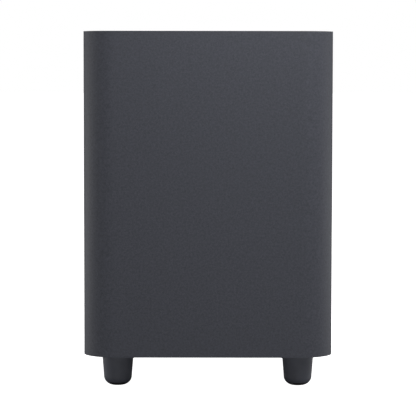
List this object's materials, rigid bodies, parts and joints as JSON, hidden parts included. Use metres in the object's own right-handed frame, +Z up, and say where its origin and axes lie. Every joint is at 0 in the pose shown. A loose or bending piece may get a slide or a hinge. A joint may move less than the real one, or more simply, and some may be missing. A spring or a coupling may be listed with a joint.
{
  "type": "wireless subwoofer",
  "caption": "Tall charcoal subwoofer cabinet with rounded upright edges on short round feet, a down-firing driver, rear reflex port and amplifier panel.",
  "frame": {"origin": "on the floor under the cabinet's centre", "axes": "+Z up; the plain front faces -Y; the port and the amplifier panel are in the rear wall, on +Y"},
  "size_m": [0.305, 0.305, 0.435],
  "materials": {
    "vinyl": "matt charcoal textured vinyl wrap",
    "painted_board": "fibreboard painted black",
    "fibreboard": "bare medium-density fibreboard",
    "wadding": "white polyester wadding",
    "foot_plastic": "satin charcoal plastic",
    "rubber": "matt black rubber",
    "zinc_steel": "zinc plated",
    "black_steel": "black powder coat",
    "foam": "black closed-cell foam",
    "cone_paper": "black pressed pulp",
    "spider_cloth": "amber resin-treated cloth",
    "aluminium": "mill finish",
    "copper_wire": "enamelled copper",
    "ferrite": "dark grey ferrite",
    "panel_plastic": "black spark-textured plastic",
    "light_lens": "clear light pipe",
    "circuit_board": "green solder mask",
    "sleeve": "dark blue sleeve",
    "wire": "black insulation"
  },
  "bodies": {
    "cabinet": {"cabinet_shell": "vinyl", "top_panel": "vinyl", "bottom_baffle": "painted_board", "window_brace": "fibreboard", "damping_lining": "wadding", "foot_front_left": "foot_plastic", "foot_front_right": "foot_plastic", "foot_rear_left": "foot_plastic", "foot_rear_right": "foot_plastic", "foot_sole_front_left": "rubber", "foot_sole_front_right": "rubber", "foot_sole_rear_left": "rubber", "foot_sole_rear_right": "rubber", "foot_screw_front_left": "zinc_steel", "foot_screw_front_right": "zinc_steel", "foot_screw_rear_left": "zinc_steel", "foot_screw_rear_right": "zinc_steel", "driver_frame": "black_steel", "driver_gasket": "foam", "surround": "rubber", "spider": "spider_cloth", "front_plate": "zinc_steel", "magnet": "ferrite", "back_plate": "zinc_steel", "terminal_block": "panel_plastic", "driver_screw_1": "black_steel", "driver_screw_2": "black_steel", "driver_screw_3": "black_steel", "driver_screw_4": "black_steel", "driver_screw_5": "black_steel", "driver_screw_6": "black_steel", "driver_screw_7": "black_steel", "driver_screw_8": "black_steel", "port_flange": "panel_plastic", "port_tube": "panel_plastic", "rear_panel": "panel_plastic", "rear_panel_gasket": "foam", "mains_inlet": "panel_plastic", "status_light": "light_lens", "control_board": "circuit_board", "amp_chassis": "aluminium", "power_board": "circuit_board", "transformer": "ferrite", "bulk_capacitor": "sleeve", "amp_board": "circuit_board", "heatsink": "aluminium", "wireless_module": "circuit_board", "speaker_lead": "wire", "mains_lead": "wire", "panel_screw_1": "black_steel", "panel_screw_2": "black_steel", "panel_screw_3": "black_steel", "panel_screw_4": "black_steel", "panel_screw_5": "black_steel", "panel_screw_6": "black_steel"},
    "cone_assembly": {"cone": "cone_paper", "dust_cap": "cone_paper", "voice_coil_former": "aluminium", "voice_coil": "copper_wire"},
    "connect_key": {"connect_button": "foot_plastic"}
  },
  "joints": [
    {"name": "cone_travel", "type": "slide", "parent": "cabinet", "child": "cone_assembly", "axis": [0, 0, 1], "range_m": [-0.01, 0.01], "stiffness_N_per_m": 4300, "deforming": ["surround", "spider"]},
    {"name": "connect_button_press", "type": "slide", "parent": "cabinet", "child": "connect_key", "axis": [0, -1, 0], "range_m": [0, 0.001], "stiffness_N_per_m": 1500}
  ]
}
